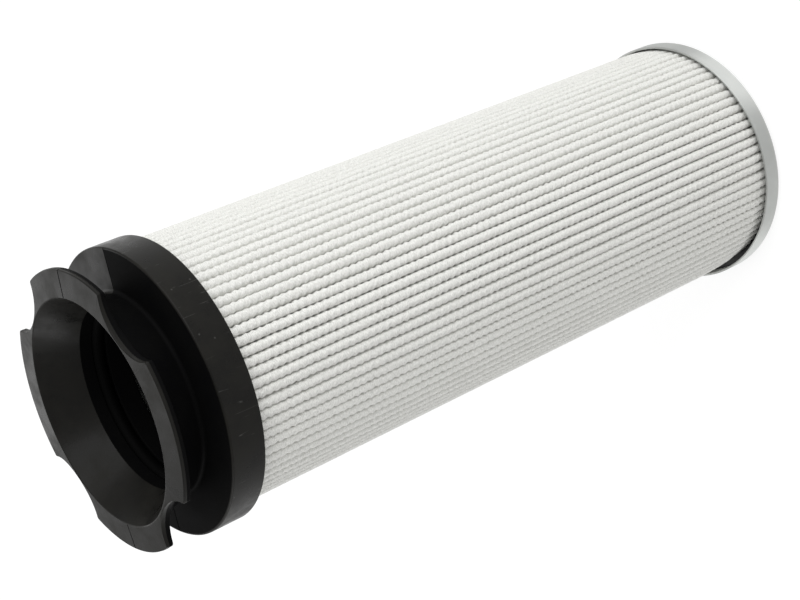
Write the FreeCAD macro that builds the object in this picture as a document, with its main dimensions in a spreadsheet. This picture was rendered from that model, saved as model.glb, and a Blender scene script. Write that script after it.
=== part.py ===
import FreeCAD, Part
import Sketcher
import math
import os

# A pleated hydraulic filter element, standing on its closed steel cap.
# The row's origin is the centre of that cap's flat end and +Z runs up to the moulded mouth.
# Radial sizes build outwards from the spigot bore, and heights build upwards from the steel floor.
SIZES = [
    ("spigot_bore_radius", 27.5, "bore of the hub that a filter head's outlet spigot slides into"),
    ("hub_wall", 3.5, "wall of the hub round the spigot bore"),
    ("hub_length", 6.0, "length of the hub under the mouth cap's wall"),
    ("tube_clearance", 0.3, "gap between the hub and the support tube"),
    ("tube_wall", 1.0, "sheet of the support tube"),
    ("tube_hole_radius", 6.0, "holes of the support tube"),
    ("tube_hole_columns", 6, "holes round the support tube in one row"),
    ("tube_hole_rows", 5, "rows of holes, each followed by a row set half a pitch round"),
    ("tube_end_land", 16.0, "plain length at each end of the support tube"),
    ("pack_clearance", 0.7, "gap between the support tube and the pleats' inner folds"),
    ("pack_length", 226.6, "length of the folded sheet"),
    ("pleat_depth", 9.3, "depth of a pleat from inner to outer fold"),
    ("pleat_count", 82, "pleats round the pack"),
    ("pleat_gap", 0.3, "gap between two pleats at the bottom of the groove"),
    ("media_thickness", 0.8, "thickness of the folded sheet"),
    ("pack_shift_x", -0.2, "how far the pack sits off the axis, along X"),
    ("pack_shift_y", 0.4, "how far the pack sits off the axis, along Y"),
    ("glue_depth", 1.6, "depth of the adhesive bed in each cap"),
    ("rim_clearance", 0.6, "gap between the pleats' outer folds and the steel rim"),
    ("steel_sheet", 0.8, "sheet of the steel cap"),
    ("rim_height", 7.1, "height of the steel cap's rim"),
    ("rim_bend", 1.5, "outside radius of the bend from the steel floor to the rim"),
    ("boss_height", 3.0, "height of the centring boss pressed into the steel floor"),
    ("boss_taper", 1.0, "how much the boss narrows from its foot to its top"),
    ("skirt_clearance", 0.9, "gap between the pleats' outer folds and the mouth cap's skirt"),
    ("skirt_wall", 1.8, "wall of the mouth cap's skirt"),
    ("skirt_length", 5.2, "length of the skirt under the mouth cap's wall"),
    ("cap_wall", 6.0, "thickness of the mouth cap's wall"),
    ("cap_edge", 0.6, "rounding of the mouth cap's front edge"),
    ("gland_top", 0.8, "wall left between the cap's face and the seal groove"),
    ("gland_height", 4.2, "height of the seal groove"),
    ("seal_cord_radius", 2.0, "radius of the seal's round cord"),
    ("seal_stand", 0.2, "how far the seal stands out of the bore"),
    ("lip_step", 1.25, "step from the spigot bore out to the funnel's narrow end"),
    ("lip_height", 3.4, "height of the funnel's narrow end over the cap's face"),
    ("mouth_height", 15.7, "height of the mouth over the cap's face"),
    ("funnel_flare", 6.35, "how much the funnel widens up to the mouth"),
    ("neck_root_wall", 2.05, "wall of the neck at the cap's face"),
    ("neck_root_fillet", 0.8, "rounding where the neck meets the cap's face"),
    ("neck_mouth_wall", 0.7, "wall of the neck under the collar"),
    ("collar_reach", 8.4, "how far the collar's lobes stand out from the mouth"),
    ("collar_edge", 2.2, "thickness of the collar at the lobes' edge"),
    ("collar_root", 3.2, "thickness of the collar at the neck"),
    ("collar_fall", 0.5, "how far the collar's face falls back from the mouth to its edge"),
    ("notch_count", 4, "notches round the collar"),
    ("notch_land", 0.8, "wall left between the mouth and the bottom of a notch"),
    ("notch_half_width", 13.5, "half the width of a notch's ellipse"),
    ("notch_half_depth", 9.9, "half the depth of a notch's ellipse"),
    ("lobe_corner", 1.0, "rounding of the lobes' corners"),
]

# Radii, from the axis outwards
BORE = "dim.spigot_bore_radius"
HUB = f"({BORE} + dim.hub_wall)"
TUBE_IN = f"({HUB} + dim.tube_clearance)"
TUBE_OUT = f"({TUBE_IN} + dim.tube_wall)"
PLEAT_ROOT = f"({TUBE_OUT} + dim.pack_clearance)"
PLEAT_TIP = f"({PLEAT_ROOT} + dim.pleat_depth)"
RIM_IN = f"({PLEAT_TIP} + dim.rim_clearance)"
RIM_OUT = f"({RIM_IN} + dim.steel_sheet)"
SKIRT_IN = f"({PLEAT_TIP} + dim.skirt_clearance)"
CAP_OUT = f"({SKIRT_IN} + dim.skirt_wall)"
SEAL_CENTRE = f"({BORE} - dim.seal_stand + dim.seal_cord_radius)"
GLAND = f"({SEAL_CENTRE} + dim.seal_cord_radius)"
LIP = f"({BORE} + dim.lip_step)"
MOUTH = f"({LIP} + dim.funnel_flare)"
NECK_ROOT = f"({LIP} + dim.neck_root_wall)"
NECK_MOUTH = f"({MOUTH} + dim.neck_mouth_wall)"
COLLAR = f"({MOUTH} + dim.collar_reach)"
NOTCH_CENTRE = f"({MOUTH} + dim.notch_land + dim.notch_half_depth)"

# Heights, from the floor upwards
PACK_FOOT = "(dim.steel_sheet + dim.glue_depth)"
PACK_TOP = f"({PACK_FOOT} + dim.pack_length)"
CAP_ROOF = f"({PACK_TOP} + dim.glue_depth)"
CAP_FACE = f"({CAP_ROOF} + dim.cap_wall)"
GLAND_TOP = f"({CAP_FACE} - dim.gland_top)"
GLAND_FOOT = f"({GLAND_TOP} - dim.gland_height)"
LIP_LEVEL = f"({CAP_FACE} + dim.lip_height)"
MOUTH_LEVEL = f"({CAP_FACE} + dim.mouth_height)"

TIP_FACETS = 5
FIND_TOLERANCE = 0.001

doc = FreeCAD.newDocument("FilterElement")
sheet = doc.addObject("Spreadsheet::Sheet", "dim")
for row, (alias, size, meaning) in enumerate(SIZES, start=1):
    sheet.set(f"A{row}", meaning)
    sheet.set(f"B{row}", str(size))
    sheet.setAlias(f"B{row}", alias)
doc.recompute()


def number(expression):
    """The value of an expression of the sheet's sizes, as a plain number."""
    return float(sheet.evalExpression(expression))


def origin_feature(body, role):
    """One of a body's own origin planes or axes, found by its role."""
    return next(feature for feature in body.Origin.OriginFeatures if feature.Role == role)


def new_sketch(body, role, name):
    """An empty sketch on one of the body's origin planes."""
    sketch = body.newObject("Sketcher::SketchObject", name)
    sketch.AttachmentSupport = [(origin_feature(body, role), "")]
    sketch.MapMode = "FlatFace"
    return sketch


def bind_point(sketch, geometry, point, across, up):
    """Hold a point of a sketch at two expressions, measured from the sketch's origin."""
    for kind, axis, expression in (("DistanceX", -2, across), ("DistanceY", -1, up)):
        distance = number(expression)
        if distance == 0:
            sketch.addConstraint(Sketcher.Constraint("PointOnObject", geometry, point, axis))
        else:
            rule = Sketcher.Constraint(kind, -1, 1, geometry, point, distance)
            sketch.setExpression(f"Constraints[{sketch.addConstraint(rule)}]", expression)


def draw_outline(sketch, corners):
    """Draw a closed outline of straight lines through corners given as pairs of expressions."""
    spots = [FreeCAD.Vector(number(across), number(up), 0) for across, up in corners]
    for start, end in zip(spots, spots[1:] + spots[:1]):
        sketch.addGeometry(Part.LineSegment(start, end))
    for line, (across, up) in enumerate(corners):
        before = (line - 1) % len(corners)
        sketch.addConstraint(Sketcher.Constraint("Coincident", before, 2, line, 1))
        bind_point(sketch, line, 1, across, up)


def turned(label, corners):
    """A body turned about Z from an outline of radius and height."""
    body = doc.addObject("PartDesign::Body", label)
    sketch = new_sketch(body, "XZ_Plane", label + "_section")
    draw_outline(sketch, corners)
    turning = body.newObject("PartDesign::Revolution", label + "_turning")
    turning.Profile = sketch
    turning.ReferenceAxis = (sketch, ["V_Axis"])
    turning.Angle = 360
    sketch.Visibility = False
    doc.recompute()
    return body


def round_edges(body, name, edges, radius):
    """Round the named edges of a body's last feature, with a radius bound to the sheet."""
    fillet = body.newObject("PartDesign::Fillet", name)
    fillet.Base = (fillet.BaseFeature or body.Tip, edges)
    fillet.setExpression("Radius", radius)
    doc.recompute()


def ring_edges(shape, radius, height):
    """Names of the circular edges at a radius and height given as expressions."""
    names = []
    for index, edge in enumerate(shape.Edges, start=1):
        if not isinstance(edge.Curve, Part.Circle):
            continue
        off_radius = abs(edge.Curve.Radius - number(radius))
        off_height = abs(edge.Curve.Center.z - number(height))
        if max(off_radius, off_height) < FIND_TOLERANCE:
            names.append(f"Edge{index}")
    return names


def upright_edges(shape, radius):
    """Names of the edges along Z at a radius, apart from the seam where a turned face closes."""
    names = []
    for index, edge in enumerate(shape.Edges, start=1):
        if len(edge.Vertexes) < 2:
            continue
        foot, head = edge.Vertexes
        lean = math.hypot(head.X - foot.X, head.Y - foot.Y)
        off_radius = abs(math.hypot(foot.X, foot.Y) - number(radius))
        is_seam = abs(foot.Y) < FIND_TOLERANCE
        if max(lean, off_radius) < FIND_TOLERANCE and not is_seam:
            names.append(f"Edge{index}")
    return names


def make_base_cap():
    """Closed cap pressed from galvanised sheet: a cup with a rim and a centring boss."""
    boss_top = f"({HUB} - dim.boss_taper)"
    body = turned("base_cap", [
        ("0", "dim.boss_height"),
        (f"{boss_top} - dim.steel_sheet", "dim.boss_height"),
        (f"{HUB} - dim.steel_sheet", "0"),
        (RIM_OUT, "0"),
        (RIM_OUT, "dim.rim_height"),
        (RIM_IN, "dim.rim_height"),
        (RIM_IN, "dim.steel_sheet"),
        (HUB, "dim.steel_sheet"),
        (boss_top, "dim.steel_sheet + dim.boss_height"),
        ("0", "dim.steel_sheet + dim.boss_height"),
    ])
    round_edges(body, "rim_bend_outside", ring_edges(body.Tip.Shape, RIM_OUT, "0"), "dim.rim_bend")
    inside = ring_edges(body.Tip.Shape, RIM_IN, "dim.steel_sheet")
    round_edges(body, "rim_bend_inside", inside, "dim.rim_bend - dim.steel_sheet")
    return body


def make_support_tube():
    """Perforated tube that carries the pleats against the flow."""
    body = turned("support_tube", [
        (TUBE_IN, PACK_FOOT),
        (TUBE_OUT, PACK_FOOT),
        (TUBE_OUT, PACK_TOP),
        (TUBE_IN, PACK_TOP),
    ])
    run = f"({PACK_TOP} - {PACK_FOOT} - 2 * dim.tube_end_land)"
    pitch = f"({run} / (2 * dim.tube_hole_rows - 1))"
    first = f"({PACK_FOOT} + dim.tube_end_land)"
    holes = []
    for row, turn in ((0, "0"), (1, "180 / dim.tube_hole_columns")):
        sketch = new_sketch(body, "XZ_Plane", f"tube_hole_{row}")
        sketch.setExpression("AttachmentOffset.Rotation.Axis.x", "0")
        sketch.setExpression("AttachmentOffset.Rotation.Axis.y", "1")
        sketch.setExpression("AttachmentOffset.Rotation.Axis.z", "0")
        sketch.setExpression("AttachmentOffset.Rotation.Angle", turn)
        height = f"{first} + {row} * {pitch}"
        centre = FreeCAD.Vector(0, number(height), 0)
        normal = FreeCAD.Vector(0, 0, 1)
        circle = sketch.addGeometry(Part.Circle(centre, normal, number("dim.tube_hole_radius")))
        bind_point(sketch, circle, 3, "0", height)
        rule = Sketcher.Constraint("Radius", circle, number("dim.tube_hole_radius"))
        sketch.setExpression(f"Constraints[{sketch.addConstraint(rule)}]", "dim.tube_hole_radius")
        hole = body.newObject("PartDesign::Pocket", f"tube_hole_cut_{row}")
        hole.Profile = sketch
        hole.Type = "ThroughAll"
        sketch.Visibility = False
        doc.recompute()
        holes.append(hole)
    grid = body.newObject("PartDesign::MultiTransform", "tube_perforation")
    grid.Originals = holes
    rows = body.newObject("PartDesign::LinearPattern", "tube_rows")
    rows.Direction = (origin_feature(body, "Z_Axis"), [""])
    rows.setExpression("Length", f"2 * {pitch} * (dim.tube_hole_rows - 1)")
    rows.setExpression("Occurrences", "dim.tube_hole_rows")
    columns = body.newObject("PartDesign::PolarPattern", "tube_columns")
    columns.Axis = (origin_feature(body, "Z_Axis"), [""])
    columns.Angle = 360
    columns.setExpression("Occurrences", "dim.tube_hole_columns")
    grid.Transformations = [rows, columns]
    body.Tip = grid
    doc.recompute()
    return body


def pleat_outline(count, half_width, low, high, tip_radius, facets):
    """Closed outline of straight-sided fingers set round the axis, with their ends rounded."""
    corners = []
    for pleat in range(count):
        turn = FreeCAD.Rotation(FreeCAD.Vector(0, 0, 1), 360 * pleat / count)
        finger = [FreeCAD.Vector(low, -half_width, 0)]
        for step in range(facets + 1):
            angle = math.pi * (step / facets - 0.5)
            across = half_width * math.sin(angle)
            finger.append(FreeCAD.Vector(high - tip_radius + tip_radius * math.cos(angle), across, 0))
        finger.append(FreeCAD.Vector(low, half_width, 0))
        corners += [turn.multVec(corner) for corner in finger]
    return Part.makePolygon(corners + corners[:1])


def make_pleat_pack():
    """The filter sheet, folded to and fro into one ring of straight pleats."""
    count = round(number("dim.pleat_count"))
    thickness = number("dim.media_thickness")
    root = number(PLEAT_ROOT)
    tip = number(PLEAT_TIP)
    groove_radius = root + thickness
    half_pitch = groove_radius * math.sin(math.pi / count)
    half_pleat = half_pitch - number("dim.pleat_gap") / 2
    half_slot = half_pleat - thickness
    groove_bottom = math.sqrt(groove_radius ** 2 - half_pitch ** 2)
    outer = pleat_outline(count, half_pleat, groove_bottom, tip, half_pleat, TIP_FACETS)
    inner = pleat_outline(count, half_slot, root, tip - thickness, half_slot, 2)
    ring = Part.makeFace([outer, inner], "Part::FaceMakerBullseye")
    pack = doc.addObject("Part::Feature", "pleat_pack")
    pack.Shape = ring.extrude(FreeCAD.Vector(0, 0, number("dim.pack_length")))
    shift = FreeCAD.Vector(number("dim.pack_shift_x"), number("dim.pack_shift_y"), number(PACK_FOOT))
    pack.Placement = FreeCAD.Placement(shift, FreeCAD.Rotation())
    return pack


def make_mouth_cap():
    """Moulded cap in one piece: skirt, wall, seal hub, funnel neck and four-lobed collar."""
    body = turned("mouth_cap", [
        (MOUTH, MOUTH_LEVEL),
        (LIP, LIP_LEVEL),
        (LIP, GLAND_TOP),
        (GLAND, GLAND_TOP),
        (GLAND, GLAND_FOOT),
        (BORE, GLAND_FOOT),
        (BORE, f"{CAP_ROOF} - dim.hub_length"),
        (HUB, f"{CAP_ROOF} - dim.hub_length"),
        (HUB, CAP_ROOF),
        (SKIRT_IN, CAP_ROOF),
        (SKIRT_IN, f"{CAP_ROOF} - dim.skirt_length"),
        (CAP_OUT, f"{CAP_ROOF} - dim.skirt_length"),
        (CAP_OUT, CAP_FACE),
        (NECK_ROOT, CAP_FACE),
        (NECK_MOUTH, f"{MOUTH_LEVEL} - dim.collar_root"),
        (COLLAR, f"{MOUTH_LEVEL} - dim.collar_fall - dim.collar_edge"),
        (COLLAR, f"{MOUTH_LEVEL} - dim.collar_fall"),
    ])
    cut_notches(body)
    round_edges(body, "lobe_corners", upright_edges(body.Tip.Shape, COLLAR), "dim.lobe_corner")
    round_edges(body, "cap_front_edge", ring_edges(body.Tip.Shape, CAP_OUT, CAP_FACE), "dim.cap_edge")
    root = ring_edges(body.Tip.Shape, NECK_ROOT, CAP_FACE)
    round_edges(body, "neck_root", root, "dim.neck_root_fillet")
    return body


def cut_notches(body):
    """Cut the elliptical notches that leave the collar's lobes on the X and Y axes."""
    sketch = new_sketch(body, "XY_Plane", "notch_outline")
    sketch.setExpression("AttachmentOffset.Base.z", MOUTH_LEVEL)
    sketch.setExpression("AttachmentOffset.Rotation.Angle", "180 / dim.notch_count")
    centre = FreeCAD.Vector(number(NOTCH_CENTRE), 0, 0)
    half_width = FreeCAD.Vector(0, number("dim.notch_half_width"), 0)
    half_depth = FreeCAD.Vector(number("dim.notch_half_depth"), 0, 0)
    ellipse = sketch.addGeometry(Part.Ellipse(centre + half_width, centre + half_depth, centre))
    sketch.exposeInternalGeometry(ellipse)
    long_axis = ellipse + 1
    short_axis = ellipse + 2
    bind_point(sketch, ellipse, 3, NOTCH_CENTRE, "0")
    sketch.addConstraint(Sketcher.Constraint("Vertical", long_axis))
    for line, half in ((long_axis, "dim.notch_half_width"), (short_axis, "dim.notch_half_depth")):
        rule = Sketcher.Constraint("Distance", line, 1, line, 2, 2 * number(half))
        sketch.setExpression(f"Constraints[{sketch.addConstraint(rule)}]", f"2 * {half}")
    notch = body.newObject("PartDesign::Pocket", "notch")
    notch.Profile = sketch
    notch.setExpression("Length", "dim.collar_root")
    sketch.Visibility = False
    doc.recompute()
    notches = body.newObject("PartDesign::PolarPattern", "notches")
    notches.Originals = [notch]
    notches.Axis = (origin_feature(body, "Z_Axis"), [""])
    notches.Angle = 360
    notches.setExpression("Occurrences", "dim.notch_count")
    body.Tip = notches
    doc.recompute()


def make_seal_ring():
    """Round-cord rubber ring in the groove of the spigot bore."""
    ring = doc.addObject("Part::Torus", "seal_ring")
    ring.setExpression("Radius1", SEAL_CENTRE)
    ring.setExpression("Radius2", "dim.seal_cord_radius")
    ring.setExpression("Placement.Base.z", f"({GLAND_TOP} + {GLAND_FOOT}) / 2")
    doc.recompute()
    return ring


def make_glue_bed(label, inside, outside, foot, top):
    """Ring of cured adhesive that fixes the pleats and the tube in a cap."""
    return turned(label, [(inside, foot), (outside, foot), (outside, top), (inside, top)])


def make_base_glue():
    """The steel cap's adhesive bed, which follows the bend of the rim."""
    body = make_glue_bed("base_glue", HUB, RIM_IN, "dim.steel_sheet", PACK_FOOT)
    corner = ring_edges(body.Tip.Shape, RIM_IN, "dim.steel_sheet")
    round_edges(body, "base_glue_bend", corner, "dim.rim_bend - dim.steel_sheet")
    return body


pieces = [
    make_base_cap(),
    make_base_glue(),
    make_support_tube(),
    make_pleat_pack(),
    make_glue_bed("mouth_glue", HUB, SKIRT_IN, PACK_TOP, CAP_ROOF),
    make_mouth_cap(),
    make_seal_ring(),
]
doc.recompute()

for feature in doc.Objects:
    if "Invalid" in feature.State or "Error" in feature.State:
        raise RuntimeError(f"{feature.Name} did not build: {feature.State}")
for piece in pieces:
    if piece.Shape.isNull() or not piece.Shape.isValid() or len(piece.Shape.Solids) != 1:
        raise RuntimeError(f"{piece.Label} is not one valid solid")

os.makedirs("parts", exist_ok=True)
for piece in pieces:
    piece.Shape.exportStep(f"parts/{piece.Label}.step")
    box = piece.Shape.BoundBox
    print(f"{piece.Label}: volume {piece.Shape.Volume:.0f} mm3, z {box.ZMin:.2f} to {box.ZMax:.2f}, "
          f"x {box.XMin:.2f} to {box.XMax:.2f}, {len(piece.Shape.Faces)} faces")
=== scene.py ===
import bmesh
import bpy
import numpy as np
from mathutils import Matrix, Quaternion, Vector


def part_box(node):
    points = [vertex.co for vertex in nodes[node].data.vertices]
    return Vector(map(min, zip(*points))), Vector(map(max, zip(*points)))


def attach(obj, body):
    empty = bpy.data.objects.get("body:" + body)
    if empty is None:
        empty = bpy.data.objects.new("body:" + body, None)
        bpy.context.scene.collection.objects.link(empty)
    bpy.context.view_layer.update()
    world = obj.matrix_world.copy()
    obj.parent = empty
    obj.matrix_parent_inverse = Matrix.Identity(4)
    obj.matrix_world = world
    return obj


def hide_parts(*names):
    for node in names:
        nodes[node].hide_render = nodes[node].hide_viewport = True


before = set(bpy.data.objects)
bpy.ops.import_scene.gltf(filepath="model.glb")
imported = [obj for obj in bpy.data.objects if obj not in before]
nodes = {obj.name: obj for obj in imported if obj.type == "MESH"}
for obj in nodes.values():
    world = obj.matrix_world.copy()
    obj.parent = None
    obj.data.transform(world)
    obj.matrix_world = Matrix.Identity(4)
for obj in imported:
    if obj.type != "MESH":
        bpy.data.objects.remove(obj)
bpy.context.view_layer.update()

# The element's lengths are written in millimetres, as on a drawing, and turned to metres by this.
MM = 0.001

# Closed steel cap
# The closed end is a cup pressed from galvanised sheet, with a rim round the pleats and a
# shallow boss that centres it. It is held by the adhesive poured into it.
RIM_OUT, _, RIM_TOP = (round(edge / MM, 2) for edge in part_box("base_cap")[1])
STEEL_SHEET = 0.8
RIM_BEND = 1.5
SHEET_EDGE = 0.25
BOSS_FOOT, BOSS_TOP = 30.2, 29.2
BOSS_HEIGHT = 3.0
BOSS_BEND = 0.8
BOSS_INNER_BENDS = (0.5, 1.2)
STEEL_COLUMNS = 192
ARC_STEPS = 4
SPANGLE = 6.0
ZINC_CLOUD = 16.0
ROLLED_GRAIN = 1.1


def linear(code, alpha=1.0):
    """Linear colour of an sRGB hex code: c / 12.92 below 0.04045, ((c + 0.055) / 1.055) ** 2.4 above."""
    channel = np.array([int(code[i:i + 2], 16) for i in (1, 3, 5)]) / 255
    curved = ((channel + 0.055) / 1.055) ** 2.4
    return (*np.where(channel <= 0.04045, channel / 12.92, curved), alpha)


def scale_for(size):
    """Texture scale at which one cell of a pattern is this many millimetres wide on the object."""
    return 1 / (size * MM)


def add(material, kind, links=None, inputs=None, **settings):
    """Add a node: settings are its properties, inputs its constants, links its {socket: output}."""
    node = material.node_tree.nodes.new(kind)
    for name, value in settings.items():
        setattr(node, name, value)
    for socket, value in (inputs or {}).items():
        node.inputs[socket].default_value = value
    for socket, output in (links or {}).items():
        material.node_tree.links.new(output, node.inputs[socket])
    return node


def new_finish(name, **inputs):
    """A material with one Principled shader, whose constants are set on its own sockets."""
    material = bpy.data.materials.new(name)
    material.use_nodes = True
    shader = material.node_tree.nodes["Principled BSDF"]
    for socket, value in inputs.items():
        shader.inputs[socket.replace("_", " ")].default_value = value
    return material, shader


def rounded_line(corners, radii, steps):
    """Points along a closed line of corners, each replaced by an arc that touches both its sides.

    Corners are arrays of (radius, height), one value for each column round the piece. The arc's
    centre lies on the corner's bisector at radius / sin(half the corner's angle), and its points
    turn evenly from one touching point to the other. An arc takes at most 0.45 of a side.
    """
    line = []
    for index, corner in enumerate(corners):
        before = corners[index - 1] - corner
        after = corners[(index + 1) % len(corners)] - corner
        reach = 0.45 * np.minimum(np.hypot(*before), np.hypot(*after))
        before = before / np.hypot(*before)
        after = after / np.hypot(*after)
        half = 0.5 * np.arccos(np.clip((before * after).sum(0), -1, 0.999999))
        radius = np.minimum(radii[index], reach * np.tan(half))
        bisector = (before + after) / np.maximum(np.hypot(*(before + after)), 1e-9)
        centre = corner + bisector * radius / np.sin(half)
        start = corner + before * radius / np.tan(half) - centre
        end = corner + after * radius / np.tan(half) - centre
        sweep = np.maximum(np.pi - 2 * half, 1e-6)
        for share in np.linspace(0, 1, steps + 1):
            mix = (np.sin((1 - share) * sweep) * start + np.sin(share * sweep) * end) / np.sin(sweep)
            line.append(centre + mix)
    return np.array(line)


def closed_mesh(name, points, sheet_place=None):
    """A closed skin over points[row, column], whose last row and column join the first ones.

    Face (row, column) takes the four points at row, row + 1, column and column + 1. sheet_place,
    one row and one column larger, is where each corner lies on the flat sheet, kept as a UV map.
    """
    rows, columns = points.shape[:2]
    row, column = np.meshgrid(np.arange(rows), np.arange(columns), indexing="ij")
    steps = ((0, 0), (0, 1), (1, 1), (1, 0))
    corners = [(row + i) % rows * columns + (column + j) % columns for i, j in steps]
    mesh = bpy.data.meshes.new(name)
    mesh.vertices.add(rows * columns)
    mesh.vertices.foreach_set("co", (points * MM).ravel())
    mesh.loops.add(4 * rows * columns)
    mesh.loops.foreach_set("vertex_index", np.stack(corners, axis=-1).ravel())
    mesh.polygons.add(rows * columns)
    mesh.polygons.foreach_set("loop_start", np.arange(0, 4 * rows * columns, 4))
    if sheet_place is not None:
        places = [sheet_place[row + i, column + j] for i, j in steps]
        layer = mesh.uv_layers.new(name="sheet")
        layer.data.foreach_set("uv", np.stack(places, axis=-2).ravel())
    mesh.update(calc_edges=True)
    mesh.shade_smooth()
    piece = bpy.data.objects.new(name, mesh)
    bpy.context.scene.collection.objects.link(piece)
    return piece


def close_poles(piece):
    """Merge the points that meet on the axis, and drop the edge left between the two poles."""
    skin = bmesh.new()
    skin.from_mesh(piece.data)
    bmesh.ops.remove_doubles(skin, verts=skin.verts, dist=1e-7)
    bmesh.ops.delete(skin, geom=[edge for edge in skin.edges if edge.is_wire], context="EDGES")
    skin.to_mesh(piece.data)
    skin.free()


def even_shading(piece):
    """Let each flat face keep its own normal where a small arc meets it."""
    modifier = piece.modifiers.new("even_shading", "WEIGHTED_NORMAL")
    modifier.weight = 100


def turn_line(line, turn):
    """Carry a line of (radius, height) round the axis: x = r cos(turn), y = r sin(turn), z = height."""
    radius, height = line[:, 0], line[:, 1]
    return np.stack([radius * np.cos(turn), radius * np.sin(turn), height], axis=-1)


# Each corner of the cup's section has its radius from the axis, its height and its bend's radius.
pressing = [(0, BOSS_HEIGHT, 0),
            (BOSS_TOP, BOSS_HEIGHT, BOSS_BEND),
            (BOSS_FOOT, 0, BOSS_BEND),
            (RIM_OUT, 0, RIM_BEND),
            (RIM_OUT, RIM_TOP, SHEET_EDGE),
            (RIM_OUT - STEEL_SHEET, RIM_TOP, SHEET_EDGE),
            (RIM_OUT - STEEL_SHEET, STEEL_SHEET, RIM_BEND - STEEL_SHEET),
            (BOSS_FOOT + STEEL_SHEET, STEEL_SHEET, BOSS_INNER_BENDS[0]),
            (BOSS_TOP + STEEL_SHEET, BOSS_HEIGHT + STEEL_SHEET, BOSS_INNER_BENDS[1]),
            (0, BOSS_HEIGHT + STEEL_SHEET, 0)]
turn = np.arange(STEEL_COLUMNS) * 2 * np.pi / STEEL_COLUMNS
steel_corners = np.array([corner[:2] for corner in pressing])[:, :, None] * np.ones(STEEL_COLUMNS)
steel_arcs = [arc for _, _, arc in pressing]
base_cap = closed_mesh("pressed_cap", turn_line(rounded_line(steel_corners, steel_arcs, ARC_STEPS), turn))
close_poles(base_cap)
even_shading(base_cap)

# Galvanised steel keeps a soft satin from the zinc bath, with faint patches of crystals. Fine marks
# of the press run round the cup, so a lamp's reflection is drawn out up and down the rim.
galvanised, shader = new_finish("galvanised steel sheet", Metallic=1.0, Anisotropic=0.9,
                                Anisotropic_Rotation=0.25)
place = add(galvanised, "ShaderNodeTexCoord").outputs["Object"]
axes = add(galvanised, "ShaderNodeSeparateXYZ", {"Vector": place})
back = add(galvanised, "ShaderNodeMath", {0: axes.outputs["Y"]}, {1: -1.0}, operation="MULTIPLY")
round_the_cup = add(galvanised, "ShaderNodeCombineXYZ", {"X": back.outputs["Value"], "Y": axes.outputs["X"]})
galvanised.node_tree.links.new(round_the_cup.outputs["Vector"], shader.inputs["Tangent"])
spangle = add(galvanised, "ShaderNodeTexVoronoi", {"Vector": place}, {"Scale": scale_for(SPANGLE)})
cloud = add(galvanised, "ShaderNodeTexNoise", {"Vector": place},
            {"Scale": scale_for(ZINC_CLOUD), "Detail": 4.0})
zinc = add(galvanised, "ShaderNodeMix", {"Factor": cloud.outputs["Fac"]}, data_type="RGBA")
zinc.inputs["A"].default_value = linear("#B4B6B4")
zinc.inputs["B"].default_value = linear("#CED0CD")
satin = add(galvanised, "ShaderNodeMapRange", {"Value": spangle.outputs["Color"]},
            {"To Min": 0.46, "To Max": 0.54})
grain = add(galvanised, "ShaderNodeTexNoise", {"Vector": place},
            {"Scale": scale_for(ROLLED_GRAIN), "Detail": 3.0})
relief = add(galvanised, "ShaderNodeBump", {"Height": grain.outputs["Fac"]},
             {"Strength": 0.25, "Distance": 0.05 * MM})
galvanised.node_tree.links.new(zinc.outputs["Result"], shader.inputs["Base Color"])
galvanised.node_tree.links.new(satin.outputs["Result"], shader.inputs["Roughness"])
galvanised.node_tree.links.new(relief.outputs["Normal"], shader.inputs["Normal"])
base_cap.data.materials.append(galvanised)
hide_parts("base_cap")
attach(base_cap, "root")

# Adhesive beds
# Black two-part adhesive is poured into each cap, and the pleats and the tube stand in it.
# It cures to a smooth, slightly glossy bed, seen only as a dark line inside the steel rim.
POUR_RIPPLE = 4.0
adhesive, shader = new_finish("cast polyurethane adhesive", Roughness=0.35)
shader.inputs["Base Color"].default_value = linear("#0E0E0F")
place = add(adhesive, "ShaderNodeTexCoord").outputs["Object"]
ripple = add(adhesive, "ShaderNodeTexNoise", {"Vector": place},
             {"Scale": scale_for(POUR_RIPPLE), "Detail": 2.0})
relief = add(adhesive, "ShaderNodeBump", {"Height": ripple.outputs["Fac"]},
             {"Strength": 0.5, "Distance": 0.3 * MM})
adhesive.node_tree.links.new(relief.outputs["Normal"], shader.inputs["Normal"])
for name in ("base_glue", "mouth_glue"):
    nodes[name].data.materials.clear()
    nodes[name].data.materials.append(adhesive)

# Support tube
# The perforated steel tube carries the pleats against the flow. It is rolled from zinc coated
# sheet with round holes in staggered rows, and shows only through the mouth.
TUBE_FOOT, TUBE_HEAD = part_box("support_tube")[0][2] / MM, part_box("support_tube")[1][2] / MM
TUBE_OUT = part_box("support_tube")[1][0] / MM
TUBE_SHEET = 1.0
TUBE_LAND = 8.3
HOLE = 5.0
HOLES_ROUND, HOLE_ROWS = 25, 30
# Points on each side of a hole's cell: an even number, so that staggered rows still meet.
SIDE_POINTS = 4
SHARP_EDGE = 40
TUBE_CLOUD = 11.0
# Lines of a cell are the hole outside, the edge outside, the edge inside and the hole inside.
# Those of a plain band are its perforated side and its free end outside, then its free end and
# its perforated side inside.
CELL_WALLS = ((0, 1), (2, 3), (3, 0))
BAND_WALLS = ((0, 1), (1, 2), (2, 3))


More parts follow.
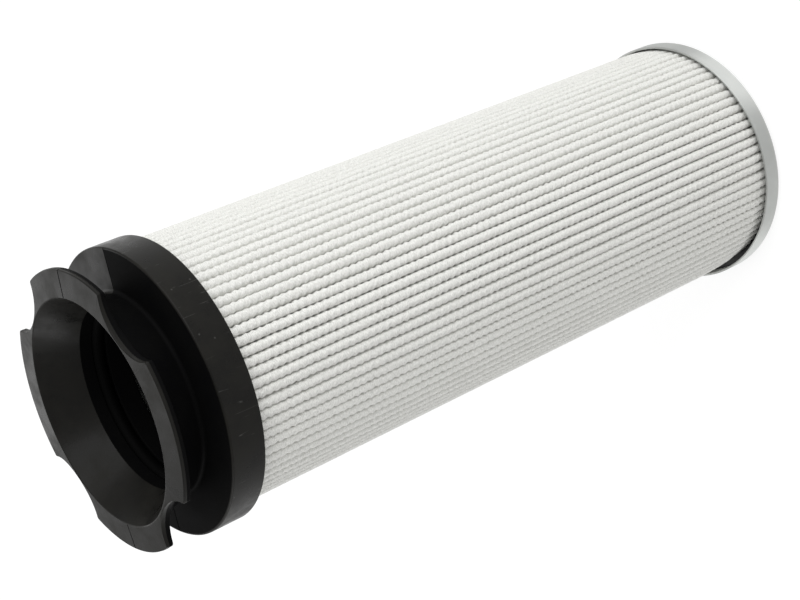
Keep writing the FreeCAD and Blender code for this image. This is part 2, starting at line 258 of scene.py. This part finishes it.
def perforated_tube():
    """Square cells of the sheet, each with a round hole, and two plain bands at the tube's ends.

    Alternate rows are shifted by half a cell. The hole's points lie on the rays from its centre to
    those on the cell's edge. Rolling turns a place (x, y) on the sheet into the angle
    2 pi x / HOLES_ROUND and the height y.
    """
    along = np.linspace(-0.5, 0.5, SIDE_POINTS + 1)[:-1]
    side = np.full(SIDE_POINTS, 0.5)
    edge = np.array([[along, -side], [side, along], [-along, side], [-side, -along]])
    edge = edge.transpose(1, 0, 2).reshape(2, 4 * SIDE_POINTS)
    low, high = TUBE_FOOT + TUBE_LAND, TUBE_HEAD - TUBE_LAND
    cell = np.array([2 * np.pi * (TUBE_OUT - TUBE_SHEET / 2) / HOLES_ROUND,
                     (high - low) / HOLE_ROWS])[:, None]
    hole = 0.5 * HOLE * edge / np.hypot(*edge) / cell
    row, column = np.divmod(np.arange(HOLES_ROUND * HOLE_ROWS), HOLES_ROUND)
    centre = np.array([column + 0.5 * (row % 2), row + 0.5])[:, :, None]
    loops = [centre + line[:, None, :] for line in (hole, edge, edge, hole)]
    cell_x, cell_y = np.stack(loops, axis=2).reshape(2, -1, 4, 4 * SIDE_POINTS)
    band_x = np.tile(np.arange(SIDE_POINTS * HOLES_ROUND) / SIDE_POINTS, (2, 4, 1))
    band_y = np.array([[low, TUBE_FOOT, TUBE_FOOT, low], [high, TUBE_HEAD, TUBE_HEAD, high]])[:, :, None]
    tube_in = TUBE_OUT - TUBE_SHEET
    radius = np.array([TUBE_OUT, TUBE_OUT, tube_in, tube_in])[None, :, None]
    skins = []
    for x, y, walls in ((cell_x, low + cell_y * cell[1], CELL_WALLS),
                        (band_x, band_y + 0 * band_x, BAND_WALLS)):
        turn = 2 * np.pi * x / HOLES_ROUND
        points = np.stack([radius * np.cos(turn), radius * np.sin(turn), y], axis=-1)
        skins.append((points, walls))
    return skins


def joined_mesh(name, skins):
    """Skins of points[group, line, place] in one mesh, each with the pairs of lines that it joins.

    A quad takes two neighbouring places on each line of a pair, and the last place joins the first.
    Points that meet are merged, and the faces are then turned outwards. Edges sharper than
    SHARP_EDGE degrees stay crisp.
    """
    points, faces, first = [], [], 0
    for skin, walls in skins:
        groups, lines, places = skin.shape[:3]
        group, wall, place = np.meshgrid(np.arange(groups), np.arange(len(walls)), np.arange(places),
                                         indexing="ij")
        start, end = np.array(walls).T[:, wall]
        after = (place + 1) % places
        quads = [(group * lines + line) * places + at
                 for line, at in ((start, place), (start, after), (end, after), (end, place))]
        faces.append(first + np.stack(quads, axis=-1).reshape(-1, 4))
        points.append(skin.reshape(-1, 3))
        first += groups * lines * places
    mesh = bpy.data.meshes.new(name)
    mesh.from_pydata((np.concatenate(points) * MM).tolist(), [], np.concatenate(faces).tolist())
    skin = bmesh.new()
    skin.from_mesh(mesh)
    bmesh.ops.remove_doubles(skin, verts=skin.verts, dist=1e-6)
    bmesh.ops.recalc_face_normals(skin, faces=skin.faces)
    skin.to_mesh(mesh)
    skin.free()
    mesh.shade_smooth()
    mesh.set_sharp_from_angle(angle=np.radians(SHARP_EDGE))
    piece = bpy.data.objects.new(name, mesh)
    bpy.context.scene.collection.objects.link(piece)
    return piece


support_tube = joined_mesh("perforated_tube", perforated_tube())
tube_steel, shader = new_finish("zinc coated tube sheet", Metallic=1.0, Roughness=0.45)
place = add(tube_steel, "ShaderNodeTexCoord").outputs["Object"]
cloud = add(tube_steel, "ShaderNodeTexNoise", {"Vector": place},
            {"Scale": scale_for(TUBE_CLOUD), "Detail": 5.0})
dull = add(tube_steel, "ShaderNodeMix", {"Factor": cloud.outputs["Fac"]}, data_type="RGBA")
dull.inputs["A"].default_value = linear("#8E908F")
dull.inputs["B"].default_value = linear("#A5A7A5")
tube_steel.node_tree.links.new(dull.outputs["Result"], shader.inputs["Base Color"])
support_tube.data.materials.append(tube_steel)
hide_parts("support_tube")
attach(support_tube, "root")

# Pleat pack
# One white sheet, a fleece with a coarse net laid on it, is folded into straight pleats and
# closed to a ring. The net presses its threads into each fold, so a ridge looks like cord.
FOOT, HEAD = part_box("pleat_pack")[0][2] / MM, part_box("pleat_pack")[1][2] / MM
PLEATS = 82
PACK_SHIFT = (-0.2, 0.4)
TIP_RADIUS, GROOVE_RADIUS = 42.3, 33.8
HALF_RIDGE, RIDGE_DROP = 1.42, 1.0
HALF_SLOT = 0.3446
SHEET = 0.8
# Sideways run of a flank, from the groove to the ridge.
FLANK_SLANT = 0.2
# The net's two sets of threads: their pitch up a pleat, and their slope to either side in degrees.
THREAD_PITCH = 2.55
THREAD_LAY = 35
# How far a thread pushes the ridge aside, how much that varies, and how far the ridge sinks with it.
ZIGZAG, ZIGZAG_SPREAD, ZIGZAG_SINK = 0.21, 0.5, 0.05
# Share of the ridges whose zigzags start on alternate sides, ridge by ridge. The others' start is
# reversed. Two ridges that press on each other keep this gap.
ALTERNATE = 0.65
PRESSED_GAP = 0.04
# Each pleat's own lean and stand, and its slow sway, which runs through a radian in SWAY_LENGTH.
LEAN, PROUD = 0.06, 0.05
SWAY, SWAY_LENGTH = 0.08, 37
# Ridges draw in and narrow below this level over the steel rim, gradually over about this length,
# by these millimetres and this share of their width.
DRAWN_LEVEL, DRAWN_LENGTH = 1.2, 0.8
DRAWN_IN, NARROWED = 0.4, 0.16
# The pack is squeezed inwards at its foot on one side, given in degrees round the axis. The squeeze
# fades from there as this power of the cosine.
SQUEEZE, SQUEEZE_LENGTH = 1.1, 9.0
GAP_SIDE, GAP_POWER = -75, 3
# A stroke's length, that over its width, and the share of a cell of the noise that it fills.
FIBRE, FIBRE_STRETCH, FIBRE_SHARE = 0.6, 2.8, 0.7


def pleat_section():
    """Outer and inner line of one pleat, as (radius, across) for each of its six columns.

    The outer line goes from the groove up one flank, round a half ellipse of HALF_RIDGE by
    RIDGE_DROP and down the other flank. The inner line is drawn in by the sheet's thickness at the
    groove and the tip, and to HALF_SLOT across.
    """
    round_tip = np.radians([-90, -45, 0, 45, 90])
    across = np.append(0, HALF_RIDGE * np.sin(round_tip))
    radius = np.append(GROOVE_RADIUS, TIP_RADIUS - RIDGE_DROP * (1 - np.cos(round_tip)))
    inner_radius = np.append(GROOVE_RADIUS - SHEET, radius[1:] - SHEET * np.cos(round_tip))
    inner_across = across * HALF_SLOT / HALF_RIDGE
    return np.array([radius, across]), np.array([inner_radius, inner_across])


def folded_sheet():
    """The whole pack: one pleat's section repeated round the axis and carried up in rows.

    Rows lie half a thread pitch apart and push the ridge left and right in turn by ZIGZAG times
    1 +- ZIGZAG_SPREAD. Each pleat leans and stands proud by a normal spread, and sways by
    SWAY sin(height / SWAY_LENGTH + its own phase). Also gives each point's place on the flat
    sheet: the way along the section, and the height.
    """
    rng = np.random.default_rng(PLEATS)
    outer, inner = pleat_section()
    rows = 2 * round((HEAD - FOOT) / THREAD_PITCH) + 1
    height = np.linspace(FOOT, HEAD, rows)[:, None, None]
    pleat = np.arange(PLEATS)[None, :, None]
    is_ridge = np.array([0, 1, 1, 1, 1, 1])
    lean = rng.normal(0, LEAN, (1, PLEATS, 1))
    proud = rng.normal(0, PROUD, (1, PLEATS, 1))
    sway = SWAY * np.sin(height / SWAY_LENGTH + rng.uniform(0, 6.28, (1, PLEATS, 1)))
    strength = rng.uniform(1 - ZIGZAG_SPREAD, 1 + ZIGZAG_SPREAD, (rows, PLEATS, 1))
    start = np.where(rng.random((1, PLEATS, 1)) < ALTERNATE, 1, -1) * np.where(pleat % 2, 1, -1)
    zigzag = ZIGZAG * start * strength * np.where(np.arange(rows) % 2, 1, -1)[:, None, None]
    middle = 2 * np.pi * (pleat + np.where(np.arange(6) == 0, -0.5, 0)[None, None, :]) / PLEATS
    across = outer[1] + is_ridge * (lean + sway + zigzag)
    radius = outer[0] + is_ridge * (proud - ZIGZAG_SINK * np.abs(zigzag) / ZIGZAG)
    # Every ridge draws in and narrows just above the steel rim, to its end in the adhesive.
    drawn_in = 1 / (1 + np.exp((height - RIM_TOP - DRAWN_LEVEL) / DRAWN_LENGTH))
    # On one side the whole pack is squeezed further in there, which leaves a gap along the rim.
    gap_side = np.cos(middle - np.radians(GAP_SIDE)).clip(0) ** GAP_POWER
    squeeze = SQUEEZE * gap_side * np.exp(-((height - FOOT) / SQUEEZE_LENGTH) ** 2)
    radius = radius - is_ridge * (squeeze + DRAWN_IN * drawn_in)
    across = across * (1 - NARROWED * drawn_in)
    # Where two ridges press on each other both are flattened, just short of the middle between them.
    half_share = np.pi / PLEATS - 0.5 * PRESSED_GAP / TIP_RADIUS
    inner_radius = inner[0] + radius - outer[0]
    inner_across = inner[1] + 0 * across
    skins = []
    for line_radius, line_across in ((radius, across), (inner_radius, inner_across)):
        turn = middle + np.arctan2(line_across, line_radius).clip(-half_share, half_share)
        reach = np.hypot(line_radius, line_across)
        skin = np.stack([reach * np.cos(turn) + PACK_SHIFT[0],
                         reach * np.sin(turn) + PACK_SHIFT[1],
                         height + 0 * reach], axis=-1)
        skins.append(skin.reshape(rows, -1, 3))
    points = np.concatenate([skins[0], skins[1][[-1, 0]]])
    step = np.hypot(*(np.roll(outer, -1, axis=1) - outer)[:, 1:-1])
    flank = np.hypot(outer[0, 1] - outer[0, 0], FLANK_SLANT)
    widths = np.tile(np.concatenate([[flank], step, [flank]]), PLEATS)
    along = np.append(0, np.cumsum(widths))
    up = np.concatenate([height.ravel(), [HEAD + SHEET, FOOT - SHEET, FOOT]])
    return points, np.stack(np.meshgrid(up, along, indexing="ij")[::-1], axis=-1)


pack = closed_mesh("folded_sheet", *folded_sheet())

# White polyester fleece scatters light softly. Its fibres lie in fine strokes, drawn coarser than
# they are so that they show. The net's two sets of threads show as a low relief under them. Both
# are mapped in millimetres.
fleece, shader = new_finish("polyester fleece over net", Roughness=0.85, Sheen_Weight=0.15)
place = add(fleece, "ShaderNodeUVMap", uv_map="sheet").outputs["UV"]
# A wave of this scale repeats once in each thread pitch. Turned by the lay it would repeat more
# slowly up the pleat, so its scale is divided by the lay's cosine.
bands = np.pi / 10 / THREAD_PITCH
threads = [
    add(fleece, "ShaderNodeTexWave",
        {"Vector": add(fleece, "ShaderNodeMapping", {"Vector": place},
                       {"Rotation": (0, 0, np.radians(lay))}).outputs["Vector"]},
        {"Scale": bands / np.cos(np.radians(lay)), "Distortion": 1.5, "Detail": 2.0, "Detail Scale": 0.8},
        bands_direction="Y")
    for lay in (THREAD_LAY, -THREAD_LAY)]
net = add(fleece, "ShaderNodeMath", {0: threads[0].outputs["Fac"], 1: threads[1].outputs["Fac"]},
          operation="MAXIMUM")
strokes = add(fleece, "ShaderNodeMapping", {"Vector": place},
              {"Rotation": (0, 0, np.radians(THREAD_LAY)), "Scale": (1.0, FIBRE_STRETCH, 1.0)})
fibre = add(fleece, "ShaderNodeTexNoise", {"Vector": strokes.outputs["Vector"]},
            {"Scale": FIBRE_SHARE / FIBRE, "Detail": 3.0, "Roughness": 0.65})
raised = add(fleece, "ShaderNodeMath", {0: net.outputs["Value"], 2: fibre.outputs["Fac"]}, {1: 0.5},
             operation="MULTIPLY_ADD")
relief = add(fleece, "ShaderNodeBump", {"Height": raised.outputs["Value"]},
             {"Strength": 0.8, "Distance": 0.4 * MM})
shade = add(fleece, "ShaderNodeMapRange", {"Value": fibre.outputs["Fac"]},
            {"From Min": 0.36, "From Max": 0.64})
white = add(fleece, "ShaderNodeMix", {"Factor": shade.outputs["Result"]}, data_type="RGBA")
white.inputs["A"].default_value = linear("#D9D9D4")
white.inputs["B"].default_value = linear("#FAFAF6")
fleece.node_tree.links.new(white.outputs["Result"], shader.inputs["Base Color"])
fleece.node_tree.links.new(relief.outputs["Normal"], shader.inputs["Normal"])
pack.data.materials.append(fleece)
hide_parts("pleat_pack")
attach(pack, "root")

# Mouth cap
# The mouth end is one moulding in black glass-filled nylon: wall and skirt over the pleats,
# funnel neck, and the collar whose four lobes are left by four notches.
HUB_END, MOUTH_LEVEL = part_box("mouth_cap")[0][2] / MM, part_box("mouth_cap")[1][2] / MM
WALL_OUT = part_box("mouth_cap")[1][0] / MM
WALL_FACE, WALL_BACK = 236.6, 230.6
SKIRT_IN, SKIRT_END = 43.2, 225.4
BORE, HUB_OUT = 27.5, 31.0
GLAND_OUT, GLAND_FLOOR, GLAND_TOP = 31.3, 231.6, 235.8
LIP, LIP_LEVEL = 28.75, 240.0
MOUTH = 35.1
NECK_ROOT, NECK_HEAD = 30.8, 35.8
COLLAR, COLLAR_FALL, COLLAR_ROOT = 43.5, 0.5, 3.2
# The mould's joint on the collar's edge, as a share of the way down it, and the flash left there.
JOINT_SHARE = 0.4
FLASH = 0.12
EASED, CREST = 0.3, 0.05
NOTCH_CENTRE, NOTCH_DEPTH, NOTCH_WIDTH = 45.8, 9.9, 13.5
CORNER_EASE = 0.42
CAP_COLUMNS = 560
# Angles that the outline is worked out at, even points that it is eased at, and how its columns
# crowd where it turns, in mm for each radian.
FINE_ANGLES, OUTLINE_POINTS = 40000, 8192
CROWDING = 5
MOULD_CLOUD = 8.0
MOULD_GRAIN = 0.55
LINE_WIDTH = 0.6
# Depths under the neck, the face and the wall from which their marks are drawn.
NECK_INSET, FACE_INSET, WALL_INSET = 0.5, 0.3, 0.05
# The spark-eroded slide's side of the cap, in degrees round the axis. The darker nylon there is painted
# shade under the collar.
SHADED_ERODED_SIDE = (-104, 90)
SCRATCH_LENGTH, SCRATCH_WIDTH, SCRATCH_LAY = 9.0, 0.6, 25
DUST_SPACING = 11.0


def collar_outline(count):
    """Radius and angle of the collar's outer edge, at count points that crowd where it turns.

    The radius is the smaller of the collar's own and the near side of the notch's ellipse, solved
    from ((r cos a - centre) / depth)^2 + (r sin a / width)^2 = 1. The edge is walked in even steps,
    a Gaussian average of CORNER_EASE eases the lobes' corners, and the points are then picked at
    even shares of the way plus CROWDING mm for each radian of turn.
    """
    angle = np.linspace(0, 2 * np.pi, FINE_ANGLES + 1)[:-1]
    off = (angle % (np.pi / 2)) - np.pi / 4
    square = (np.cos(off) / NOTCH_DEPTH) ** 2 + (np.sin(off) / NOTCH_WIDTH) ** 2
    linear_part = NOTCH_CENTRE * np.cos(off) / NOTCH_DEPTH ** 2
    rest = (NOTCH_CENTRE / NOTCH_DEPTH) ** 2 - 1
    inside = linear_part ** 2 - square * rest
    notch = np.where(inside > 0, (linear_part - np.sqrt(inside.clip(0))) / square, COLLAR)
    edge = np.minimum(notch, COLLAR) * np.exp(1j * angle)
    closed = np.append(edge, edge[0])
    walked = np.append(0, np.cumsum(np.abs(np.diff(closed))))
    even = np.linspace(0, walked[-1], OUTLINE_POINTS + 1)[:-1]
    edge = np.interp(even, walked, closed.real) + 1j * np.interp(even, walked, closed.imag)
    step = walked[-1] / OUTLINE_POINTS
    waves = np.fft.fftfreq(OUTLINE_POINTS, step)
    edge = np.fft.ifft(np.fft.fft(edge) * np.exp(-2 * (np.pi * waves * CORNER_EASE) ** 2))
    heading = np.unwrap(np.angle(np.roll(edge, -1) - edge))
    share = np.append(0, np.cumsum(np.abs(np.gradient(heading)) * CROWDING + step))
    index = np.arange(OUTLINE_POINTS + 1)
    pick = np.interp(np.linspace(0, share[-1], count + 1)[:-1], share, index) % OUTLINE_POINTS
    closed = np.append(edge, edge[0])
    edge = np.interp(pick, index, closed.real) + 1j * np.interp(pick, index, closed.imag)
    return np.abs(edge), np.unwrap(np.angle(edge))


reach, turn = collar_outline(CAP_COLUMNS)
collar_top = MOUTH_LEVEL - COLLAR_FALL * (reach - MOUTH) / (COLLAR - MOUTH)
collar_under = MOUTH_LEVEL - COLLAR_ROOT + COLLAR_FALL * (reach - NECK_HEAD) / (COLLAR - NECK_HEAD)
mould_joint = (1 - JOINT_SHARE) * collar_top + JOINT_SHARE * collar_under
# Each corner of the section has its radius from the axis, its height and its rounding's radius.
moulding = [(LIP, LIP_LEVEL, EASED),
            (LIP, GLAND_TOP, 0.2),
            (GLAND_OUT, GLAND_TOP, 0.2),
            (GLAND_OUT, GLAND_FLOOR, 0.2),
            (BORE, GLAND_FLOOR, 0.2),
            (BORE, HUB_END, 0.5),
            (HUB_OUT, HUB_END, EASED),
            (HUB_OUT, WALL_BACK, EASED),
            (SKIRT_IN, WALL_BACK, EASED),
            (SKIRT_IN, SKIRT_END, EASED),
            (WALL_OUT, SKIRT_END, EASED),
            (WALL_OUT, WALL_FACE, 0.6),
            (NECK_ROOT, WALL_FACE, 1.1),
            (NECK_HEAD, MOUTH_LEVEL - COLLAR_ROOT, 0.6),
            (reach, collar_under, 0.35),
            (reach, mould_joint - FLASH, CREST),
            (reach + FLASH, mould_joint, CREST),
            (reach, mould_joint + FLASH, CREST),
            (reach, collar_top, 0.35),
            (MOUTH, MOUTH_LEVEL, 0.5)]
# Faces lie in rows along the section: ARC_STEPS on each corner's arc, and one on the straight after
# it. The bore runs from the straight after corner 0 to the arc of corner 5, and the gap behind the
# collar from the straight before corner 12 to the one before corner 16.
CORNER_ROWS = ARC_STEPS + 1
BORE_ROWS = (CORNER_ROWS - 1, 6 * CORNER_ROWS - 1)
GAP_ROWS = (12 * CORNER_ROWS - 1, 16 * CORNER_ROWS)
ones = np.ones(CAP_COLUMNS)
cap_corners = np.array([(radius * ones, level * ones) for radius, level, _ in moulding])
cap_arcs = [arc for _, _, arc in moulding]
mouth_cap = closed_mesh("moulded_cap", turn_line(rounded_line(cap_corners, cap_arcs, ARC_STEPS), turn))
even_shading(mouth_cap)


def moulded_nylon(name, darkest, palest, gloss, smoothest, roughest):
    """Glass-filled nylon with the mould's fine grain, the slides' joint line, scratches and dust."""
    nylon, shader = new_finish(name, Specular_IOR_Level=gloss)
    place = add(nylon, "ShaderNodeTexCoord").outputs["Object"]
    axes = add(nylon, "ShaderNodeSeparateXYZ", {"Vector": place})
    cloud = add(nylon, "ShaderNodeTexNoise", {"Vector": place},
                {"Scale": scale_for(MOULD_CLOUD), "Detail": 6.0, "Roughness": 0.6})
    black = add(nylon, "ShaderNodeMix", {"Factor": cloud.outputs["Fac"]}, data_type="RGBA")
    black.inputs["A"].default_value = linear(darkest)
    black.inputs["B"].default_value = linear(palest)
    satin = add(nylon, "ShaderNodeMapRange", {"Value": cloud.outputs["Fac"]},
                {"From Min": 0.35, "From Max": 0.65, "To Min": smoothest, "To Max": roughest})

    # Two side slides shape the gap behind the collar and close on the Y axis. Their joint leaves
    # a fine dull groove over the cap's face and the collar.
    off_line = add(nylon, "ShaderNodeMath", {0: axes.outputs["X"]}, operation="ABSOLUTE")
    near_line = add(nylon, "ShaderNodeMapRange", {"Value": off_line.outputs["Value"]},
                    {"From Min": 0.2 * LINE_WIDTH * MM, "From Max": 0.6 * LINE_WIDTH * MM,
                     "To Min": 1.0, "To Max": 0.0})
    side = add(nylon, "ShaderNodeMath", {0: axes.outputs["Y"]}, operation="ABSOLUTE")
    neck = add(nylon, "ShaderNodeMapRange", {"Value": axes.outputs["Z"]},
               {"From Min": WALL_FACE * MM, "From Max": (MOUTH_LEVEL - COLLAR_ROOT) * MM,
                "To Min": (NECK_ROOT - NECK_INSET) * MM, "To Max": (NECK_HEAD - NECK_INSET) * MM})
    outside = add(nylon, "ShaderNodeMath", {0: side.outputs["Value"], 1: neck.outputs["Result"]},
                  operation="GREATER_THAN")
    over_face = add(nylon, "ShaderNodeMath", {0: axes.outputs["Z"]}, {1: (WALL_FACE - FACE_INSET) * MM},
                    operation="GREATER_THAN")
    on_cap = add(nylon, "ShaderNodeMath", {0: outside.outputs["Value"], 1: over_face.outputs["Value"]},
                 operation="MULTIPLY")
    line = add(nylon, "ShaderNodeMath", {0: near_line.outputs["Result"], 1: on_cap.outputs["Value"]},
               operation="MULTIPLY")

    # Handling leaves a few fine pale scratches and specks of dust on the outer wall, placed on the
    # wall unrolled: the way round it in metres, and the height.
    turned = add(nylon, "ShaderNodeMath", {0: axes.outputs["Y"], 1: axes.outputs["X"]}, operation="ARCTAN2")
    way_round = add(nylon, "ShaderNodeMath", {0: turned.outputs["Value"]}, {1: WALL_OUT * MM},
                    operation="MULTIPLY")
    unrolled = add(nylon, "ShaderNodeCombineXYZ", {"X": way_round.outputs["Value"], "Y": axes.outputs["Z"]})
    drawn_out = add(nylon, "ShaderNodeMapping", {"Vector": unrolled.outputs["Vector"]},
                    {"Rotation": (0, 0, np.radians(SCRATCH_LAY)),
                     "Scale": (SCRATCH_LENGTH / SCRATCH_WIDTH, 1, 1)})
    scratch = add(nylon, "ShaderNodeTexNoise", {"Vector": drawn_out.outputs["Vector"]},
                  {"Scale": scale_for(SCRATCH_LENGTH), "Detail": 1.0, "Distortion": 0.6},
                  noise_dimensions="2D")
    scratched = add(nylon, "ShaderNodeMapRange", {"Value": scratch.outputs["Fac"]},
                    {"From Min": 0.74, "From Max": 0.82, "To Max": 0.7})
    speck = add(nylon, "ShaderNodeTexVoronoi", {"Vector": unrolled.outputs["Vector"]},
                {"Scale": scale_for(DUST_SPACING)}, voronoi_dimensions="2D")
    dusty = add(nylon, "ShaderNodeMapRange", {"Value": speck.outputs["Distance"]},
                {"From Min": 0.03, "From Max": 0.015, "To Max": 0.5})
    marks = add(nylon, "ShaderNodeMath", {0: scratched.outputs["Result"], 1: dusty.outputs["Result"]},
                operation="MAXIMUM")
    flat = add(nylon, "ShaderNodeVectorMath", {0: place}, {1: (1, 1, 0)}, operation="MULTIPLY")
    out = add(nylon, "ShaderNodeVectorMath", {0: flat.outputs["Vector"]}, operation="LENGTH")
    on_wall = add(nylon, "ShaderNodeMath", {0: out.outputs["Value"]}, {1: (WALL_OUT - WALL_INSET) * MM},
                  operation="GREATER_THAN")
    scuff = add(nylon, "ShaderNodeMath", {0: marks.outputs["Value"], 1: on_wall.outputs["Value"]},
                operation="MULTIPLY")

    scuffed = add(nylon, "ShaderNodeMix", {"Factor": scuff.outputs["Value"], "A": black.outputs["Result"]},
                  data_type="RGBA")
    scuffed.inputs["B"].default_value = linear("#50504E")
    lined = add(nylon, "ShaderNodeMix", {"Factor": line.outputs["Value"], "A": scuffed.outputs["Result"]},
                data_type="RGBA")
    lined.inputs["B"].default_value = linear("#030303")
    dulled = add(nylon, "ShaderNodeMath", {0: line.outputs["Value"], 1: satin.outputs["Result"]},
                 operation="MAXIMUM")
    grain = add(nylon, "ShaderNodeTexNoise", {"Vector": place},
                {"Scale": scale_for(MOULD_GRAIN), "Detail": 3.0})
    groove = add(nylon, "ShaderNodeMath", {0: line.outputs["Value"], 2: grain.outputs["Fac"]}, {1: -5.0},
                 operation="MULTIPLY_ADD")
    relief = add(nylon, "ShaderNodeBump", {"Height": groove.outputs["Value"]},
                 {"Strength": 0.35, "Distance": 0.05 * MM})
    nylon.node_tree.links.new(lined.outputs["Result"], shader.inputs["Base Color"])
    nylon.node_tree.links.new(dulled.outputs["Value"], shader.inputs["Roughness"])
    nylon.node_tree.links.new(relief.outputs["Normal"], shader.inputs["Normal"])
    return nylon


# The nylon comes satin from the mould. The slide for one side of the gap behind the collar, with the
# collar's edge up to the joint, and the core for the bore are spark-eroded, so what they shape is nearly
# matt. Its darker colour is painted shade, in the recess under the collar and deep in the bore.
mouth_cap.data.materials.append(
    moulded_nylon("glass-filled nylon, moulded", darkest="#0C0C0D", palest="#22211D",
                  gloss=0.1, smoothest=0.24, roughest=0.46))
mouth_cap.data.materials.append(
    moulded_nylon("glass-filled nylon, spark-eroded, painted shade", darkest="#0A0A0C", palest="#121211",
                  gloss=0.01, smoothest=0.4, roughest=0.5))
# Faces in the gap behind the collar on the slide's side, and those in the bore, take the darker nylon as
# painted shade.
row, column = np.divmod(np.arange(len(mouth_cap.data.polygons)), CAP_COLUMNS)
off_slide = (np.degrees(turn[column]) - np.mean(SHADED_ERODED_SIDE) + 180) % 360 - 180
in_shaded_gap = (row >= GAP_ROWS[0]) & (row < GAP_ROWS[1]) & (np.abs(off_slide) < np.ptp(SHADED_ERODED_SIDE) / 2)
in_shaded_bore = (row >= BORE_ROWS[0]) & (row < BORE_ROWS[1])
mouth_cap.data.polygons.foreach_set("material_index", (in_shaded_gap | in_shaded_bore).astype(np.int32))
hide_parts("mouth_cap")
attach(mouth_cap, "root")

# Seal ring
# A round cord of nitrile rubber sits in the groove of the bore and seals on the spigot.
# It comes matt from its mould.
RUBBER_GRAIN = 2.5
rubber, shader = new_finish("nitrile rubber", Roughness=0.7, Specular_IOR_Level=0.05)
shader.inputs["Base Color"].default_value = linear("#040404")
place = add(rubber, "ShaderNodeTexCoord").outputs["Object"]
bloom = add(rubber, "ShaderNodeTexNoise", {"Vector": place},
            {"Scale": scale_for(RUBBER_GRAIN), "Detail": 3.0})
relief = add(rubber, "ShaderNodeBump", {"Height": bloom.outputs["Fac"]},
             {"Strength": 0.2, "Distance": 0.05 * MM})
rubber.node_tree.links.new(relief.outputs["Normal"], shader.inputs["Normal"])
nodes["seal_ring"].data.materials.clear()
nodes["seal_ring"].data.materials.append(rubber)

# Studio
# A plain pale floor, a pale room and three soft lamps, all in metres. The camera sees the floor
# white, and so do rays that a gloss or a glass sends on. The floor still takes the object's shadow.
FLOOR_RADIUS = 4.0
FLOOR_LEVEL = -0.0002
FLOOR_SIDES = 64
ELEMENT_MIDDLE = Vector((0, 0, 0.13))
around = np.linspace(0, 2 * np.pi, FLOOR_SIDES + 1)[:-1]
floor_points = np.stack([FLOOR_RADIUS * np.cos(around), FLOOR_RADIUS * np.sin(around),
                         FLOOR_LEVEL + 0 * around], axis=-1)
floor_mesh = bpy.data.meshes.new("floor")
floor_mesh.from_pydata(floor_points.tolist(), [], [list(range(FLOOR_SIDES))])
floor = bpy.data.objects.new("floor", floor_mesh)
bpy.context.scene.collection.objects.link(floor)
paper, shader = new_finish("pale floor", Roughness=0.9)
path = add(paper, "ShaderNodeLightPath")
seen = add(paper, "ShaderNodeMath", {0: path.outputs["Is Camera Ray"], 1: path.outputs["Is Glossy Ray"]},
           operation="MAXIMUM")
seen = add(paper, "ShaderNodeMath", {0: seen.outputs["Value"], 1: path.outputs["Is Transmission Ray"]},
           operation="MAXIMUM")
sheet_white = add(paper, "ShaderNodeMix", {"Factor": seen.outputs["Value"]}, data_type="RGBA")
sheet_white.inputs["A"].default_value = linear("#CCCCCC")
sheet_white.inputs["B"].default_value = linear("#959595")
glow = add(paper, "ShaderNodeMath", {0: seen.outputs["Value"]}, {1: 0.74}, operation="MULTIPLY")
shader.inputs["Emission Color"].default_value = (1, 1, 1, 1)
paper.node_tree.links.new(sheet_white.outputs["Result"], shader.inputs["Base Color"])
paper.node_tree.links.new(glow.outputs["Value"], shader.inputs["Emission Strength"])
floor_mesh.materials.append(paper)

world = bpy.data.worlds.new("studio")
bpy.context.scene.world = world
world.use_nodes = True
world.node_tree.nodes["Background"].inputs["Color"].default_value = (1, 1, 1, 1)
world.node_tree.nodes["Background"].inputs["Strength"].default_value = 0.66


def soft_lamp(name, direction, distance, size, power):
    """A square area lamp in metres and watts, which faces the element's middle from a direction."""
    lamp = bpy.data.lights.new(name, "AREA")
    lamp.shape = "SQUARE"
    lamp.size = size
    lamp.energy = power
    holder = bpy.data.objects.new(name, lamp)
    towards = Vector(direction).normalized()
    holder.location = ELEMENT_MIDDLE + towards * distance
    holder.rotation_euler = towards.to_track_quat("Z", "Y").to_euler()
    bpy.context.scene.collection.objects.link(holder)


soft_lamp("overhead", direction=(0.35, 0.85, 0.4), distance=1.8, size=1.8, power=23.0)
soft_lamp("low_side", direction=(-0.05, -0.9, 0.4), distance=1.8, size=1.0, power=8.0)
soft_lamp("mouth_side", direction=(-0.88, -0.02, 0.5), distance=1.3, size=0.9, power=2.2)
bpy.context.scene.view_settings.view_transform = "Standard"

# Camera
# It looks down on the element from beside the mouth and is rolled, as in the photograph. Its place
# and target are in metres, the lens and the sensor in millimetres, the roll in degrees.
CAMERA_PLACE = Vector((0.42838, 0.14821, 0.44286))
CAMERA_TARGET = Vector((0.00183, -0.00509, 0.14099))
CAMERA_ROLL = -113.848
CAMERA_LENS, CAMERA_SENSOR = 75.986, 36.0
camera = bpy.data.cameras.new("camera")
camera.lens = CAMERA_LENS
camera.sensor_width = CAMERA_SENSOR
camera.clip_start, camera.clip_end = 0.01, 20.0
camera_holder = bpy.data.objects.new("camera", camera)
camera_holder.location = CAMERA_PLACE
camera_holder.rotation_mode = "QUATERNION"
level = (CAMERA_TARGET - CAMERA_PLACE).to_track_quat("-Z", "Y")
camera_holder.rotation_quaternion = level @ Quaternion((0, 0, 1), np.radians(CAMERA_ROLL))
bpy.context.scene.collection.objects.link(camera_holder)
bpy.context.scene.camera = camera_holder
